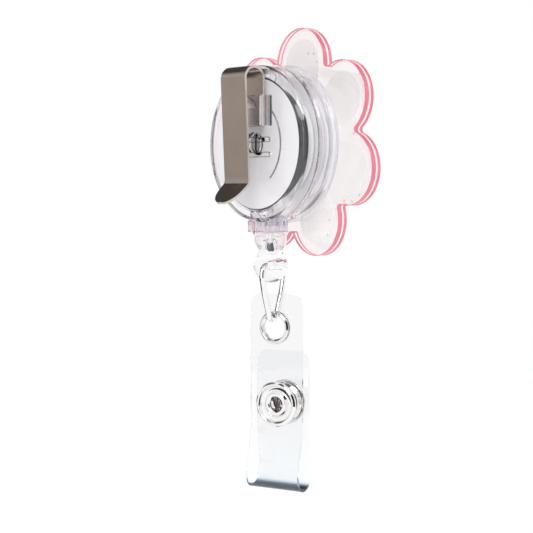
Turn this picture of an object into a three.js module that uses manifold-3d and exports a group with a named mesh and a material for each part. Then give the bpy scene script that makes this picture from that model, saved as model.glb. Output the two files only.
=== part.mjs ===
// Retractable badge reel with a flower front, a belt clip and a snap strap.
// Millimetres. +Z up, +Y towards the belt clip (the back), -Y towards the flower (the front).
// The origin is in the middle of the gap under the belt clip, on the reel's axis.
import * as THREE from 'three';
import { mergeVertices } from 'three/addons/utils/BufferGeometryUtils.js';
import Module from 'manifold-3d';

const wasm = await Module();
wasm.setup();

// ---- driving dimensions ----
const GAP = 0.3; // clearance between separate pieces
const TURN = 2 * Math.PI;
const SIDES = 40; // sides of the large round pieces

const CASE_BACK_Y = -2.0; // outer face of the case's back
const CASE_R = 15.8;
const FLANGE_R = 16.2;
const WALL = 1.2;
const SHOULDER = { width: 2.4, depth: 1.5 }; // rounding of the case's back edge
const PARTING_DEPTH = 4.5; // depths are measured from the case's back towards the flower
const FLANGE_DEPTH = 7.6;
const CASE_DEPTH = 9.0;

const POST_R = 1.7;
const HUB_HOLE_R = 2.3;
const DRUM_R = 8.0;
const DISC_R = 13.5;
const DISC_DEPTH = 1.3; // outer face of the bright disc under the clear back
const WINDING_R = 11.6;

const CORD_R = 0.45;
const CORD_DEPTH = 4.6;
const CORD_Y = CASE_BACK_Y - CORD_DEPTH;

const GUIDE_SIZE = new THREE.Vector3(6.5, 5.3, 2.0);
const GUIDE_SHIFT = 0.75; // of the guide from the cord, towards the clip
const GUIDE_BOTTOM_Z = -17.9;

const BEAD_TOP_Z = -18.15;
const BALL_Z = -24.75;
const BALL_R = 3.6;
const BALL_FLAT = 2.85; // from the ball's middle to the flats where the wire comes out

const LOOP_TURN = THREE.MathUtils.degToRad(23); // of the wire loop's plane about the cord, from +Y
const LOOP_SHIFT = 1.05; // how far the loop has slid through the ball, away from the clip
const WIRE_R = 0.62;
const LOOP_HALF_WIDTH = 4.7;
const LOOP_TIP_Z = -36.05; // middle of the wire

const STRAP_TURN = THREE.MathUtils.degToRad(21); // of the strap about the cord
const STRAP_SHIFT = new THREE.Vector2(-0.7, -1.3); // strap's centre from the cord, in its turned frame
const STRAP_WIDTH = 12.2;
const SHEET = 0.5;
const STRAP_TOP_Z = -30.7;
const FOLD_Z = -71.5;
const FLAP_TOP_Z = -42.65;
const LAYER_GAP = 2.9; // between the middles of the strap's two layers at the snap
const EYELET_X = 0.4;
const EYELET_Z = -37.7;
const EYELET_HOLE_R = 2.45;
const EYELET_R = 3.45;
const SNAP_X = -0.35;
const SNAP_Z = -53.5;
const SNAP_R = 4.65;
const SNAP_HOLE_R = 1.45;

const CLIP_WIDTH = 7.8;
const CLIP_SHEET = 0.5;
const CLIP_TOP_Z = 15.4;

const FLOWER_DEPTH = 11.2;
const LAYER = 1.15;
const PETALS = 7;
const PETAL_TURN = THREE.MathUtils.degToRad(4.6);
const PETAL_R = 7.5;
const PETAL_CENTRE_R = 16.45;
const NOTCH_R = 0.7;
const INLAY_INSET = 2.2;

// ---- materials ----
function material(color, roughness, metalness, opacity = 1) {
  return new THREE.MeshStandardMaterial({ color, roughness, metalness, opacity, transparent: opacity < 1 });
}
const clear = () => material(0xe9e8f0, 0.06, 0, 0.35);
const chrome = () => material(0xd8d8da, 0.12, 1);
const vinyl = () => material(0xeef1f4, 0.12, 0, 0.35);
const satinSteel = () => material(0x96897d, 0.35, 1);
const pinkAcrylic = () => material(0xf6c9cf, 0.08, 0, 0.4);

// ---- solids ----
function toSolid(geometry) {
  geometry.deleteAttribute('normal');
  geometry.deleteAttribute('uv');
  const merged = mergeVertices(geometry, 1e-4);
  const vertProperties = new Float32Array(merged.attributes.position.array);
  const triVerts = new Uint32Array(merged.index.array);
  return new wasm.Manifold(new wasm.Mesh({ numProp: 3, vertProperties, triVerts }));
}

function toGeometry(solid) {
  const mesh = solid.getMesh();
  const geometry = new THREE.BufferGeometry();
  geometry.setAttribute('position', new THREE.BufferAttribute(mesh.vertProperties, 3));
  geometry.setIndex(new THREE.BufferAttribute(mesh.triVerts, 1));
  geometry.computeVertexNormals();
  return geometry;
}

const root = new THREE.Group();

function piece(name, geometry, look, parent = root) {
  const mesh = new THREE.Mesh(geometry, look);
  mesh.name = name;
  parent.add(mesh);
  return mesh;
}

// A turned solid about Y. The profile is (radius, y) round its outline, in either direction.
function turned(profile, sides) {
  const points = profile.map(([radius, y]) => new THREE.Vector2(radius, y));
  if (THREE.ShapeUtils.area(points) < 0) points.reverse();
  const startsOnAxis = points[0].x === 0 && points.at(-1).x === 0;
  if (!startsOnAxis) points.push(points[0].clone());
  return new THREE.LatheGeometry(points, sides);
}

// A ring or disc about the reel's axis, its profile being (radius, depth from the case's back).
function turnedAboutReel(profile, sides = SIDES) {
  return turned(profile.map(([radius, depth]) => [radius, CASE_BACK_Y - depth]), sides);
}

// A turned piece about a vertical axis, its profile being (radius, z).
function turnedAboutCord(profile, sides) {
  return turned(profile, sides).rotateX(Math.PI / 2);
}

function cylinder(radius, length, axis, sides = 24) {
  const geometry = new THREE.CylinderGeometry(radius, radius, length, sides);
  if (axis === 'z') geometry.rotateX(Math.PI / 2);
  if (axis === 'x') geometry.rotateZ(Math.PI / 2);
  return geometry;
}

function block(sx, sy, sz, x, y, z) {
  return new THREE.BoxGeometry(sx, sy, sz).translate(x, y, z);
}

// An outline drawn in X and Z, pushed from one Y to another.
function plate(outline, yFrom, yTo) {
  const depth = Math.abs(yTo - yFrom);
  const geometry = new THREE.ExtrudeGeometry(outline, { depth, bevelEnabled: false, curveSegments: 12 });
  geometry.rotateX(Math.PI / 2);
  geometry.translate(0, Math.max(yFrom, yTo), 0);
  return geometry;
}

// A bent strip: its middle line is drawn in Y and Z, and it is as wide as `width` along X.
function bentStrip(line, thickness, width) {
  const half = thickness / 2;
  const outer = [];
  const inner = [];
  line.forEach((point, index) => {
    const before = line[Math.max(index - 1, 0)];
    const after = line[Math.min(index + 1, line.length - 1)];
    const along = after.clone().sub(before).normalize();
    const normal = new THREE.Vector2(-along.y, along.x);
    outer.push(point.clone().addScaledVector(normal, half));
    inner.unshift(point.clone().addScaledVector(normal, -half));
  });
  const shape = new THREE.Shape([...outer, ...inner]);
  const geometry = new THREE.ExtrudeGeometry(shape, { depth: width, bevelEnabled: false });
  // the shape's x is the part's Y, its y is the part's Z, and its depth runs along X
  geometry.applyMatrix4(new THREE.Matrix4().set(0, 0, 1, -width / 2, 1, 0, 0, 0, 0, 1, 0, 0, 0, 0, 0, 1));
  return geometry;
}

function smoothLine(points, steps) {
  const places = points.map(([y, z]) => new THREE.Vector3(y, z, 0));
  const curve = new THREE.CatmullRomCurve3(places, false, 'centripetal');
  return curve.getPoints(steps).map((point) => new THREE.Vector2(point.x, point.y));
}

function arcPoints(x, z, radius, from, to, count) {
  const points = [];
  for (let i = 0; i <= count; i += 1) {
    const angle = from + ((to - from) * i) / count;
    points.push(new THREE.Vector2(x + radius * Math.cos(angle), z + radius * Math.sin(angle)));
  }
  return points;
}

function roundedRectangle(left, bottom, right, top, radiusBottom, radiusTop) {
  const shape = new THREE.Shape();
  shape.moveTo(left + radiusBottom, bottom);
  shape.lineTo(right - radiusBottom, bottom);
  if (radiusBottom) shape.absarc(right - radiusBottom, bottom + radiusBottom, radiusBottom, -TURN / 4, 0);
  shape.lineTo(right, top - radiusTop);
  if (radiusTop) shape.absarc(right - radiusTop, top - radiusTop, radiusTop, 0, TURN / 4);
  shape.lineTo(left + radiusTop, top);
  if (radiusTop) shape.absarc(left + radiusTop, top - radiusTop, radiusTop, TURN / 4, TURN / 2);
  shape.lineTo(left, bottom + radiusBottom);
  if (radiusBottom) {
    shape.absarc(left + radiusBottom, bottom + radiusBottom, radiusBottom, TURN / 2, 0.75 * TURN);
  }
  return shape;
}

// ---- case ----
const guideHole = () => toSolid(cylinder(1.9, 6, 'z').translate(0, CORD_Y, -CASE_R));

function backShell() {
  const shoulder = arcPoints(0, 0, 1, TURN / 4, 0, 4)
    .map(({ x, y }) => [CASE_R - SHOULDER.width + SHOULDER.width * x, SHOULDER.depth * (1 - y)]);
  const inside = CASE_R - WALL;
  const shell = turnedAboutReel([
    [HUB_HOLE_R, 0], ...shoulder, [CASE_R, PARTING_DEPTH - 0.5], [CASE_R - 0.3, PARTING_DEPTH - 0.2],
    [inside, PARTING_DEPTH - 0.2], [inside, 2.0], [inside - 1.0, 1.0], [HUB_HOLE_R, 1.0],
  ]);
  let solid = toSolid(shell).subtract(guideHole());
  // bridge that traps the clip's inner arm: two cheeks and a top plate with a passage between them
  const bridge = toSolid(block(12.4, 2.3, 6.2, 0, CASE_BACK_Y + 1.05, 6.5));
  const passage = toSolid(block(CLIP_WIDTH + 2 * GAP, 1.2, 8, 0, CASE_BACK_Y + 0.6, 6.5));
  solid = solid.add(bridge).subtract(passage);
  // two raised arcs on the back face and two slots beside the hub
  for (const side of [0, 1]) {
    const from = side * Math.PI - 0.9;
    const arc = [...arcPoints(0, 0, 9.0, from, from + 1.8, 8), ...arcPoints(0, 0, 8.7, from + 1.8, from, 8)];
    solid = solid.add(toSolid(plate(new THREE.Shape(arc), CASE_BACK_Y - 0.2, CASE_BACK_Y + 0.25)));
  }
  for (const z of [0.8, -2.2]) {
    solid = solid.subtract(toSolid(block(11, 3, 0.6, 0, CASE_BACK_Y, z)));
  }
  return toGeometry(solid);
}

function frontShell() {
  const inside = CASE_R - WALL;
  const plateInside = CASE_DEPTH - 1.1;
  const shell = turnedAboutReel([
    [0, plateInside], [inside - 0.6, plateInside], [inside, plateInside - 0.6],
    [inside, PARTING_DEPTH + 0.1], [CASE_R - 0.3, PARTING_DEPTH + 0.1], [CASE_R, PARTING_DEPTH + 0.4],
    [CASE_R, FLANGE_DEPTH], [FLANGE_R, FLANGE_DEPTH + 0.3], [FLANGE_R, CASE_DEPTH - 0.3],
    [FLANGE_R - 0.3, CASE_DEPTH], [13, CASE_DEPTH], [12.6, CASE_DEPTH + 0.7], [0, CASE_DEPTH + 0.7],
  ]);
  return toGeometry(toSolid(shell).subtract(guideHole()));
}

piece('back_shell', backShell(), clear());
piece('front_shell', frontShell(), clear());

// Ribbed block under the case that the cord leaves through, with a neck in the case's wall.
function cordGuide() {
  const { x: width, y: depth, z: height } = GUIDE_SIZE;
  const outline = roundedRectangle(-width / 2, -depth / 2, width / 2, depth / 2, 1, 1);
  const settings = { depth: height + 2, bevelEnabled: false, curveSegments: 3 };
  const body = new THREE.ExtrudeGeometry(outline, settings);
  body.translate(0, GUIDE_SHIFT, GUIDE_BOTTOM_Z);
  let solid = toSolid(body);
  for (const x of [-1.9, 0, 1.9]) {
    for (const side of [-1, 1]) {
      const grooveY = GUIDE_SHIFT + (side * depth) / 2;
      solid = solid.subtract(toSolid(block(0.8, 0.7, 9, x, grooveY, GUIDE_BOTTOM_Z)));
    }
  }
  for (const side of [-1, 1]) {
    solid = solid.subtract(toSolid(block(0.7, 1.4, 9, (side * width) / 2, GUIDE_SHIFT, GUIDE_BOTTOM_Z)));
  }
  solid = solid.subtract(toSolid(cylinder(CASE_R + 0.15, 20, 'y', SIDES)));
  solid = solid.add(toSolid(cylinder(1.5, 1.7, 'z').translate(0, 0, -15.75)));
  solid = solid.subtract(toSolid(cylinder(CORD_R + GAP, 12, 'z', 16).translate(0, 0, -16)));
  return toGeometry(solid).translate(0, CORD_Y, 0);
}
piece('cord_guide', cordGuide(), clear());

// ---- inside the case ----
function axlePost() {
  const foot = CASE_DEPTH - 1.1 - 0.05;
  const post = turnedAboutReel([
    [0, 0.75], [POST_R - 0.3, 0.75], [POST_R, 1.05], [POST_R, foot - 0.8],
    [3.2, foot - 0.8], [3.2, foot], [0, foot],
  ], 28);
  const slit = toSolid(block(0.5, 5, 5, 0, CASE_BACK_Y, 0));
  return toGeometry(toSolid(post).subtract(slit));
}
piece('axle_post', axlePost(), chrome());

const spoolBack = DISC_DEPTH + 0.6;
const spoolFront = 7.0;
piece('spool', turnedAboutReel([
  [2.1, spoolFront - 0.8], [2.1, spoolBack + 1.6], [2.9, spoolBack + 1.6], [2.9, spoolFront - 0.8],
  [DRUM_R - 0.8, spoolFront - 0.8], [DRUM_R - 0.8, spoolBack + 0.1], [DRUM_R, spoolBack + 0.1],
  [DRUM_R, spoolFront - 0.8], [DISC_R, spoolFront - 0.8], [DISC_R, spoolFront], [2.1, spoolFront],
], 40), material(0xf2f2f3, 0.3, 0));

piece('spool_cover', turnedAboutReel([
  [HUB_HOLE_R, DISC_DEPTH + 0.5], [HUB_HOLE_R, DISC_DEPTH], [DISC_R - 0.3, DISC_DEPTH],
  [DISC_R, DISC_DEPTH + 0.3], [DISC_R, DISC_DEPTH + 1.4], [DISC_R - 0.4, DISC_DEPTH + 1.4],
  [DISC_R - 0.4, DISC_DEPTH + 0.5],
]), chrome());

// Flat power spring, wound in a spiral between the hub and the drum.
function powerSpring() {
  const turns = 4.5;
  const steps = 100;
  const inner = [];
  const outer = [];
  for (let i = 0; i <= steps; i += 1) {
    const angle = (i / steps) * turns * TURN;
    const radius = 3.4 + (i / steps) * 3.2;
    inner.unshift(new THREE.Vector2(radius * Math.cos(angle), radius * Math.sin(angle)));
    outer.push(new THREE.Vector2((radius + 0.2) * Math.cos(angle), (radius + 0.2) * Math.sin(angle)));
  }
  const front = CASE_BACK_Y - (spoolFront - 1.1);
  const back = CASE_BACK_Y - (spoolBack + 0.4);
  return plate(new THREE.Shape([...outer, ...inner]), front, back);
}
piece('power_spring', powerSpring(), material(0x55585c, 0.3, 1));

piece('cord_winding', turnedAboutReel([
  [DRUM_R + 0.3, spoolFront - 1.1], [DRUM_R + 0.3, DISC_DEPTH + 1.8],
  [WINDING_R, DISC_DEPTH + 1.8], [WINDING_R, spoolFront - 1.1],
], 40), material(0xf4f4f4, 0.6, 0));

// ---- cord end ----
const cordEnd = new THREE.Group();
cordEnd.position.set(0, CORD_Y, 0);
root.add(cordEnd);

// The cord leaves the winding on a tangent, bends in the guide and drops to the knot.
function cordLead() {
  const route = [[-6.1, -10.9], [-3, -12.5], [-0.7, -13.6], [0, -14.4], [0, -15.5], [0, -19.6]]
    .map(([x, z]) => new THREE.Vector3(x, 0, z));
  const path = new THREE.CatmullRomCurve3(route, false, 'centripetal');
  const section = new THREE.Shape();
  section.absarc(0, 0, CORD_R, 0, TURN);
  const settings = { steps: 16, bevelEnabled: false, curveSegments: 4, extrudePath: path };
  return new THREE.ExtrudeGeometry(section, settings);
}
piece('cord_lead', cordLead(), material(0xf4f4f4, 0.6, 0), cordEnd);
const knot = new THREE.SphereGeometry(1.15, 12, 8).translate(0, 0, -21.1);
piece('cord_knot', knot, material(0x3c4048, 0.7, 0), cordEnd);

function endBead() {
  const ball = arcPoints(0, BALL_Z, BALL_R, -TURN / 4, -TURN / 4 + 2.3, 9).slice(1).map(({ x, y }) => [x, y]);
  const cavityFloor = -22.6;
  const profile = [
    [0, BALL_Z - BALL_R], ...ball,
    [2.55, -21.5], [2.9, -20.9], [3.3, -20.2], [3.35, -18.6], [3.2, BEAD_TOP_Z],
    [CORD_R + GAP, BEAD_TOP_Z], [CORD_R + GAP, -19.2], [1.5, -19.7], [1.5, cavityFloor], [0, cavityFloor],
  ];
  const crossHole = cylinder(WIRE_R + 0.38, 12, 'y', 20).rotateZ(LOOP_TURN).translate(0, 0, BALL_Z);
  let solid = toSolid(turnedAboutCord(profile, 26)).subtract(toSolid(crossHole));
  for (const side of [-1, 1]) {
    const flat = block(6, 2, 5.6, 0, side * (BALL_FLAT + 1), BALL_Z - 2.8).rotateZ(LOOP_TURN);
    solid = solid.subtract(toSolid(flat));
  }
  return toGeometry(solid);
}
piece('end_bead', endBead(), clear(), cordEnd);

// Teardrop of wire. Its two ends meet inside the bead's cross hole.
function wireLoop() {
  const w = LOOP_HALF_WIDTH;
  const side = [
    [0.25, BALL_Z], [2.2, BALL_Z], [3.35, BALL_Z - 0.06], [w - 0.4, BALL_Z - 0.55], [w - 0.02, BALL_Z - 1.5],
    [w, BALL_Z - 2.4], [w - 0.35, BALL_Z - 3.6], [w - 0.93, BALL_Z - 5.5], [w - 1.85, BALL_Z - 7.7],
    [w - 2.4, BALL_Z - 8.9], [1.7, LOOP_TIP_Z + 1.1], [0.85, LOOP_TIP_Z + 0.2],
  ];
  const near = side.map(([y, z]) => new THREE.Vector3(0, y - LOOP_SHIFT, z));
  const far = side.map(([y, z]) => new THREE.Vector3(0, -y - LOOP_SHIFT, z)).reverse();
  const route = [...near, new THREE.Vector3(0, -LOOP_SHIFT, LOOP_TIP_Z), ...far];
  const path = new THREE.CatmullRomCurve3(route, false, 'centripetal');
  const section = new THREE.Shape();
  section.absarc(0, 0, WIRE_R, 0, TURN);
  const settings = { steps: 54, bevelEnabled: false, curveSegments: 4, extrudePath: path };
  return new THREE.ExtrudeGeometry(section, settings);
}
piece('wire_loop', wireLoop(), chrome(), cordEnd).rotation.z = LOOP_TURN;

// ---- strap ----
// In this group the eyelet layer's middle is at y = 0 and the flap's is at y = -LAYER_GAP.
const strap = new THREE.Group();
strap.rotation.z = STRAP_TURN;
cordEnd.add(strap);
const strapFrame = new THREE.Group();
strapFrame.position.set(STRAP_SHIFT.x, STRAP_SHIFT.y, 0);
strap.add(strapFrame);

const hingeZ = -63; // where the flap's stand-in hinge crosses it
const FLAP_BULGE = 0.85;
const flapAtHinge = -LAYER_GAP - 0.45;

function strapMain() {
  const line = [
    new THREE.Vector2(0, STRAP_TOP_Z), new THREE.Vector2(0.03, -41.6), new THREE.Vector2(0.03, -48.2),
    ...smoothLine([
      [0, -58.9], [0.45, -61.3], [1.5, -64.8], [2.0, -67.9], [1.2, -70.5], [-0.9, FOLD_Z + SHEET / 2],
      [-3.0, -70.1], [-LAYER_GAP - FLAP_BULGE, -67.3], [flapAtHinge, hingeZ - 0.55],
    ], 26),
  ];
  const half = STRAP_WIDTH / 2;
  const outline = roundedRectangle(-half, FOLD_Z - 2, half, STRAP_TOP_Z, 0, 2.4);
  let solid = toSolid(bentStrip(line, SHEET, STRAP_WIDTH)).intersect(toSolid(plate(outline, -9, 5)));
  solid = solid.subtract(toSolid(cylinder(EYELET_HOLE_R + 0.55, 3, 'y').translate(EYELET_X, 0, EYELET_Z)));
  solid = solid.subtract(toSolid(cylinder(SNAP_HOLE_R + 0.55, 2, 'y').translate(SNAP_X, 0, SNAP_Z)));
  return toGeometry(solid);
}
piece('strap_main', strapMain(), vinyl(), strapFrame);

function strapFlap() {
  const line = [
    ...smoothLine([[flapAtHinge, hingeZ], [-LAYER_GAP - 0.15, -60.8], [-LAYER_GAP, -59]], 6),
    new THREE.Vector2(-LAYER_GAP, FLAP_TOP_Z),
  ];
  const half = STRAP_WIDTH / 2;
  const outline = roundedRectangle(-half, hingeZ - 1, half, FLAP_TOP_Z, 0, 2.4);
  const solid = toSolid(bentStrip(line, SHEET, STRAP_WIDTH)).intersect(toSolid(plate(outline, -9, 5)));
  return toGeometry(solid.subtract(toSolid(cylinder(1.6, 3, 'y').translate(SNAP_X, -LAYER_GAP, SNAP_Z))));
}
piece('strap_flap', strapFlap(), vinyl(), strapFrame);

// A turned metal piece on the strap. The profile is (radius, y), y being positive towards the clip's side.
function turnedOnStrap(name, profile, x, z, look, sides = 28) {
  piece(name, turned(profile, sides).translate(x, 0, z), look, strapFrame);
}

const face = SHEET / 2 + 0.05;
// The eyelet is a flanged barrel through the strap, set over a washer on the far side.
turnedOnStrap('eyelet', [
  [EYELET_HOLE_R + 0.3, -face - 0.3], [EYELET_HOLE_R + 0.3, face], [EYELET_R, face],
  [EYELET_R, face + 0.15], [EYELET_R - 0.4, face + 0.5], [EYELET_HOLE_R + 0.35, face + 0.5],
  [EYELET_HOLE_R, face - 0.05], [EYELET_HOLE_R, -face], [EYELET_HOLE_R + 0.15, -face - 0.3],
], EYELET_X, EYELET_Z, chrome());
turnedOnStrap('eyelet_washer', [
  [EYELET_HOLE_R + 0.55, -face - 0.3], [EYELET_R, -face - 0.2],
  [EYELET_R, -face], [EYELET_HOLE_R + 0.55, -face],
], EYELET_X, EYELET_Z, chrome());

const flapFace = -LAYER_GAP;
// Open ring on the near side, riveted through the strap to the stud behind it.
turnedOnStrap('snap_ring', [
  [SNAP_HOLE_R, -face - 0.2], [SNAP_HOLE_R + 0.3, -face - 0.2], [SNAP_HOLE_R + 0.3, face],
  [SNAP_R - 0.35, face], [SNAP_R, face + 0.3], [SNAP_R, face + 0.75], [SNAP_R - 0.4, face + 1.1],
  [SNAP_R - 0.85, face + 1.1], [SNAP_R - 1.2, face + 0.55], [2.95, face + 0.35], [2.5, face + 0.95],
  [SNAP_HOLE_R + 0.4, face + 0.95], [SNAP_HOLE_R, face + 0.55],
], SNAP_X, SNAP_Z, chrome(), 32);
turnedOnStrap('snap_stud', [
  [1.8, -face - 1.85], [1.8, -face - 0.3], [SNAP_R - 0.6, -face], [SNAP_R - 0.6, -face - 0.3],
  [2.15, -face - 0.55], [2.0, -face - 1.2], [2.15, -face - 1.6], [2.05, -face - 1.85],
], SNAP_X, SNAP_Z, chrome(), 32);
turnedOnStrap('snap_socket', [
  [2.5, flapFace + face], [SNAP_R - 0.4, flapFace + face], [SNAP_R - 0.4, flapFace + face + 0.5],
  [SNAP_R - 1.0, flapFace + face + 0.9], [2.5, flapFace + face + 0.9],
], SNAP_X, SNAP_Z, chrome(), 32);
turnedOnStrap('snap_cap', [
  [0, flapFace + 0.6], [1.3, flapFace + 0.6], [1.3, flapFace - face], [SNAP_R, flapFace - face],
  [SNAP_R, flapFace - face - 0.35], [SNAP_R - 0.8, flapFace - face - 0.9], [0, flapFace - face - 1.15],
], SNAP_X, SNAP_Z, chrome(), 32);

// ---- belt clip ----
const clipInnerY = CASE_BACK_Y + 0.1 + CLIP_SHEET / 2;
const clipBendR = 2.3;
const clipBendZ = CLIP_TOP_Z - CLIP_SHEET / 2 - clipBendR;
const clipBendY = clipInnerY + clipBendR;

const bend = (from, to) => arcPoints(clipBendY, clipBendZ, clipBendR, from, to, 6);

function clipBase() {
  const line = [new THREE.Vector2(clipInnerY, 3.6), ...bend(TURN / 2, TURN / 4 + 0.16)];
  let solid = toSolid(bentStrip(line, CLIP_SHEET, CLIP_WIDTH));
  // half-moon window where the locking tab is lanced out
  const moon = new THREE.Shape();
  moon.absarc(0, 7.0, 2.4, 0, TURN / 2, false);
  solid = solid.subtract(toSolid(plate(moon, clipInnerY - 1, clipInnerY + 1)));
  return toGeometry(solid);
}
piece('clip_base', clipBase(), satinSteel());

function clipArm() {
  const line = [
    ...bend(TURN / 4, 0.02), new THREE.Vector2(1.95, -7.5), new THREE.Vector2(2.15, -8.1),
    new THREE.Vector2(6.1, -11.9),
  ];
  const half = CLIP_WIDTH / 2;
  const outline = new THREE.Shape();
  outline.moveTo(-half, CLIP_TOP_Z + 1);
  outline.lineTo(-half, -9.2);
  outline.bezierCurveTo(-half, -11.4, -half + 1.2, -12.3, 0, -12.3);
  outline.bezierCurveTo(half - 1.2, -12.3, half, -11.4, half, -9.2);
  outline.lineTo(half, CLIP_TOP_Z + 1);
  const solid = toSolid(bentStrip(line, CLIP_SHEET, CLIP_WIDTH)).intersect(toSolid(plate(outline, -3, 9)));
  return toGeometry(solid);
}
piece('clip_arm', clipArm(), satinSteel());

// ---- flower ----
// Petal number i points at this angle in X and Z, counted from the top towards +X.
const petalAngle = (i) => TURN / 4 + PETAL_TURN - (i * TURN) / PETALS;

// Petals as round arcs, joined in the notches by small arcs.
function flowerOutline() {
  const half = TURN / PETALS / 2;
  const mid = PETAL_CENTRE_R * Math.cos(half);
  const offset = PETAL_CENTRE_R * Math.sin(half);
  const notchCentreR = mid + Math.sqrt((PETAL_R + NOTCH_R) ** 2 - offset ** 2);
  const lean = Math.atan2(notchCentreR - mid, offset);
  const sweep = TURN / 4 + half - lean;
  const opening = TURN / 4 - lean;
  const points = [];
  for (let i = PETALS; i > 0; i -= 1) {
    const angle = petalAngle(i);
    const notch = angle + half;
    points.push(
      ...arcPoints(
        PETAL_CENTRE_R * Math.cos(angle), PETAL_CENTRE_R * Math.sin(angle), PETAL_R,
        angle - sweep, angle + sweep, 14,
      ),
      ...arcPoints(
        notchCentreR * Math.cos(notch), notchCentreR * Math.sin(notch), NOTCH_R,
        notch + Math.PI + opening, notch + Math.PI - opening, 3,
      ).slice(1, -1),
    );
  }
  return new THREE.Shape(points);
}

// Teardrop inlay: round outside, tapering towards the flower's centre.
function inlayOutline(index, shrink) {
  const round = PETAL_R - INLAY_INSET - shrink;
  const tip = PETAL_CENTRE_R - 7.4;
  const shape = new THREE.Shape();
  shape.absarc(PETAL_CENTRE_R, 0, round, -TURN / 4, TURN / 4, false);
  shape.bezierCurveTo(PETAL_CENTRE_R - 3.5, round, tip, 3.2 - shrink, tip + shrink, 0);
  shape.bezierCurveTo(tip, -3.2 + shrink, PETAL_CENTRE_R - 3.5, -round, PETAL_CENTRE_R, -round);
  const angle = petalAngle(index);
  const around = shape.getPoints(6).slice(1).map((point) => point.rotateAround(new THREE.Vector2(), angle));
  return new THREE.Shape(around);
}

const flowerBackY = CASE_BACK_Y - FLOWER_DEPTH;
const flowerMidY = flowerBackY - LAYER;
const flowerFrontY = flowerMidY - 0.08 - LAYER;

piece('adhesive_pad', turnedAboutReel([
  [0, FLOWER_DEPTH - 0.1], [0, CASE_DEPTH + 0.8], [12, CASE_DEPTH + 0.8], [12, FLOWER_DEPTH - 0.1],
], 32), material(0xf7f5f4, 0.8, 0));

piece('flower_back', plate(flowerOutline(), flowerBackY, flowerMidY), pinkAcrylic());

function flowerFront() {
  let solid = toSolid(plate(flowerOutline(), flowerMidY - 0.08, flowerFrontY));
  for (let i = 1; i <= PETALS; i += 1) {
    solid = solid.subtract(toSolid(plate(inlayOutline(i, 0), flowerMidY, flowerMidY - 0.5)));
  }
  return toGeometry(solid);
}
piece('flower_front', flowerFront(), pinkAcrylic());
for (let i = 1; i <= PETALS; i += 1) {
  const inlay = plate(inlayOutline(i, 0.12), flowerMidY - 0.08, flowerMidY - 0.42);
  piece(`petal_inlay_${i}`, inlay, material(0xf6f3f2, 0.5, 0));
}
const frontDepth = FLOWER_DEPTH + 2 * LAYER;
piece('flower_centre', turnedAboutReel([
  [0, frontDepth + 0.18], [5.8, frontDepth + 0.18], [5.8, frontDepth + 0.7],
  [5.2, frontDepth + 1.2], [3, frontDepth + 1.6], [0, frontDepth + 1.75],
], 36), material(0xf5d76b, 0.3, 0));

export default root;
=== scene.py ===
"""Looks of a retractable badge reel: clear case, flower face, belt clip, wire loop and snap strap."""
import math

import bmesh
import bpy
from mathutils import Matrix, Vector


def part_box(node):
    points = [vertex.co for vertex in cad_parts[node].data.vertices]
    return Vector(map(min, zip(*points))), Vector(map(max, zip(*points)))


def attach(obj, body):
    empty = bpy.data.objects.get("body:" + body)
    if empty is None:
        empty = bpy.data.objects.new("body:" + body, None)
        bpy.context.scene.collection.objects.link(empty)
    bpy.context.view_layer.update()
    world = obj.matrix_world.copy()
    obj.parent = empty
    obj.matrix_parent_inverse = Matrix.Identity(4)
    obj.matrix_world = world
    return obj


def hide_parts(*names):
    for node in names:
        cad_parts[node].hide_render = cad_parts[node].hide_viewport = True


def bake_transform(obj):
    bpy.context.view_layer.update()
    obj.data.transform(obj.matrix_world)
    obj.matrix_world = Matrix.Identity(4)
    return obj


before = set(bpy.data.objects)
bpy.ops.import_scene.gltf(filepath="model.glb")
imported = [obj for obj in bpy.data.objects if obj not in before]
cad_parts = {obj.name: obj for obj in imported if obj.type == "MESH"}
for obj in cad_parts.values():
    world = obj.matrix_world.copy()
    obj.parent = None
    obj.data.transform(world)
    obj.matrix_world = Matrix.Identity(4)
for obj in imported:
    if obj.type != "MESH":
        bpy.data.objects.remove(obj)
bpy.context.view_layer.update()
MM = 0.001
TURN = 2 * math.pi


# ---- places taken from the frame, in millimetres ----
def low(node):
    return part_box(node)[0] / MM


def high(node):
    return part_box(node)[1] / MM


BACK_Y = low("clip_base").y - 0.1  # outer face of the case's back
CORD_Y = (low("cord_knot").y + high("cord_knot").y) / 2  # the cord's vertical line
CASE_R = high("back_shell").x
FLANGE_R = high("front_shell").x
DISC_R = high("spool_cover").x
BALL_R = high("end_bead").x
BALL_FLAT = 2.85
BALL_Z = low("end_bead").z + BALL_R
BEAD_TOP_Z = high("end_bead").z
GUIDE_BOTTOM_Z = low("cord_guide").z
GUIDE_WIDTH = high("cord_guide").x * 2
GUIDE_DEPTH = high("cord_guide").y - low("cord_guide").y
GUIDE_Y = (high("cord_guide").y + low("cord_guide").y) / 2
LOOP_TIP_Z = low("wire_loop").z
STRAP_TOP_Z = high("strap_main").z
FOLD_Z = low("strap_main").z
FLAP_TOP_Z = high("strap_flap").z
EYELET_Z = (low("eyelet").z + high("eyelet").z) / 2
SNAP_Z = (low("snap_ring").z + high("snap_ring").z) / 2
SNAP_R = (high("snap_ring").z - low("snap_ring").z) / 2
CLIP_WIDTH = high("clip_arm").x * 2
CLIP_TOP_Z = high("clip_arm").z
FLOWER_BACK_Y = high("flower_back").y
FLOWER_FRONT_Y = low("flower_front").y
LAYER = high("flower_back").y - low("flower_back").y

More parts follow.
